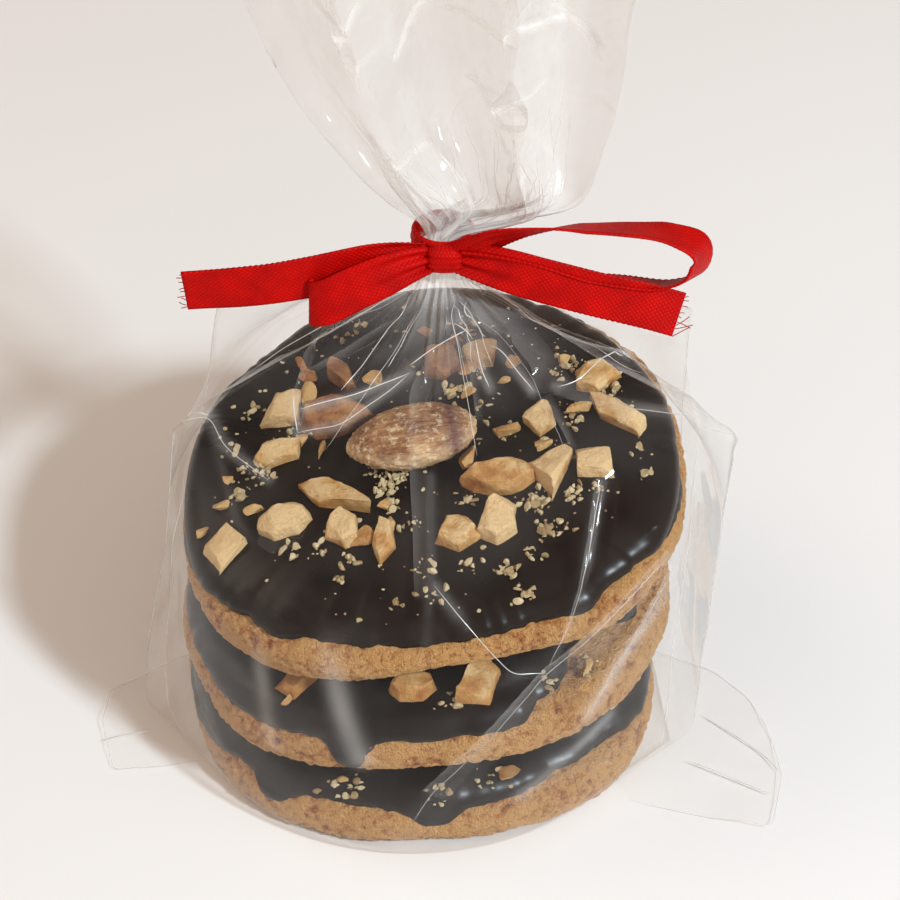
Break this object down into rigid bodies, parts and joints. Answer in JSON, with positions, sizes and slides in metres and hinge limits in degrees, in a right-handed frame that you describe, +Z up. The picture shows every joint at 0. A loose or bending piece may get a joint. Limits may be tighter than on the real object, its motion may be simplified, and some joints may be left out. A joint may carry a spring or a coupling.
{
  "type": "gift bag of chocolate almond cookies",
  "caption": "Clear gusseted gift bag holding a leaning stack of round chocolate-topped biscuits with chopped almonds, gathered at the neck and tied with a red ribbon bow.",
  "frame": {"origin": "middle of the bottom cookie's flat underside, on the surface that the bag stands on", "axes": "+Z up through the stack to the neck, -Y to the front of the bag where the bow faces, +X to the right seen from the front"},
  "size_m": [0.1129, 0.089, 0.138],
  "materials": {
    "biscuit": "golden-brown baked biscuit, coarse sandy crumb, browner towards the edges",
    "chocolate": "dark chocolate coating, smooth and satin, soft broad highlights",
    "nut": "chopped roasted almond, pale golden cut faces with browner edges",
    "almond": "whole roasted almond in its skin, mottled tan and brown, finely wrinkled",
    "film": "thin clear crinkled film, glossy, faint milky haze in its folds",
    "ribbon": "red satin ribbon with a fine slanting weave, firm woven edges and frayed cut ends"
  },
  "bodies": {
    "root": {"cookie_bottom_biscuit": "biscuit", "cookie_bottom_chocolate": "chocolate", "cookie_middle_biscuit": "biscuit", "cookie_middle_chocolate": "chocolate", "nut_middle_chip_right": "nut", "nut_middle_chip_front": "nut", "nut_middle_chip_left": "nut", "almond_middle": "almond", "cookie_top_biscuit": "biscuit", "cookie_top_chocolate": "chocolate", "nut_top_half_left": "nut", "nut_top_half_right": "nut", "nut_top_half_front": "nut", "nut_top_half_long": "nut", "nut_top_chip_front_left": "nut", "nut_top_chip_splinter": "nut", "nut_top_chip_far_left": "nut", "nut_top_chip_left": "nut", "nut_top_chip_back_left": "nut", "nut_top_chip_back": "nut", "nut_top_chip_front_right": "nut", "nut_top_chip_front": "nut", "nut_top_chip_corner": "nut", "nut_top_chip_square": "nut", "nut_top_chip_right": "nut", "nut_top_chip_back_right": "nut", "nut_top_chip_middle_right": "nut", "nut_top_chip_rear": "nut", "nut_top_chip_rear_right": "nut", "almond_top": "almond", "bag": "film", "ribbon_bow": "ribbon"}
  },
  "joints": []
}
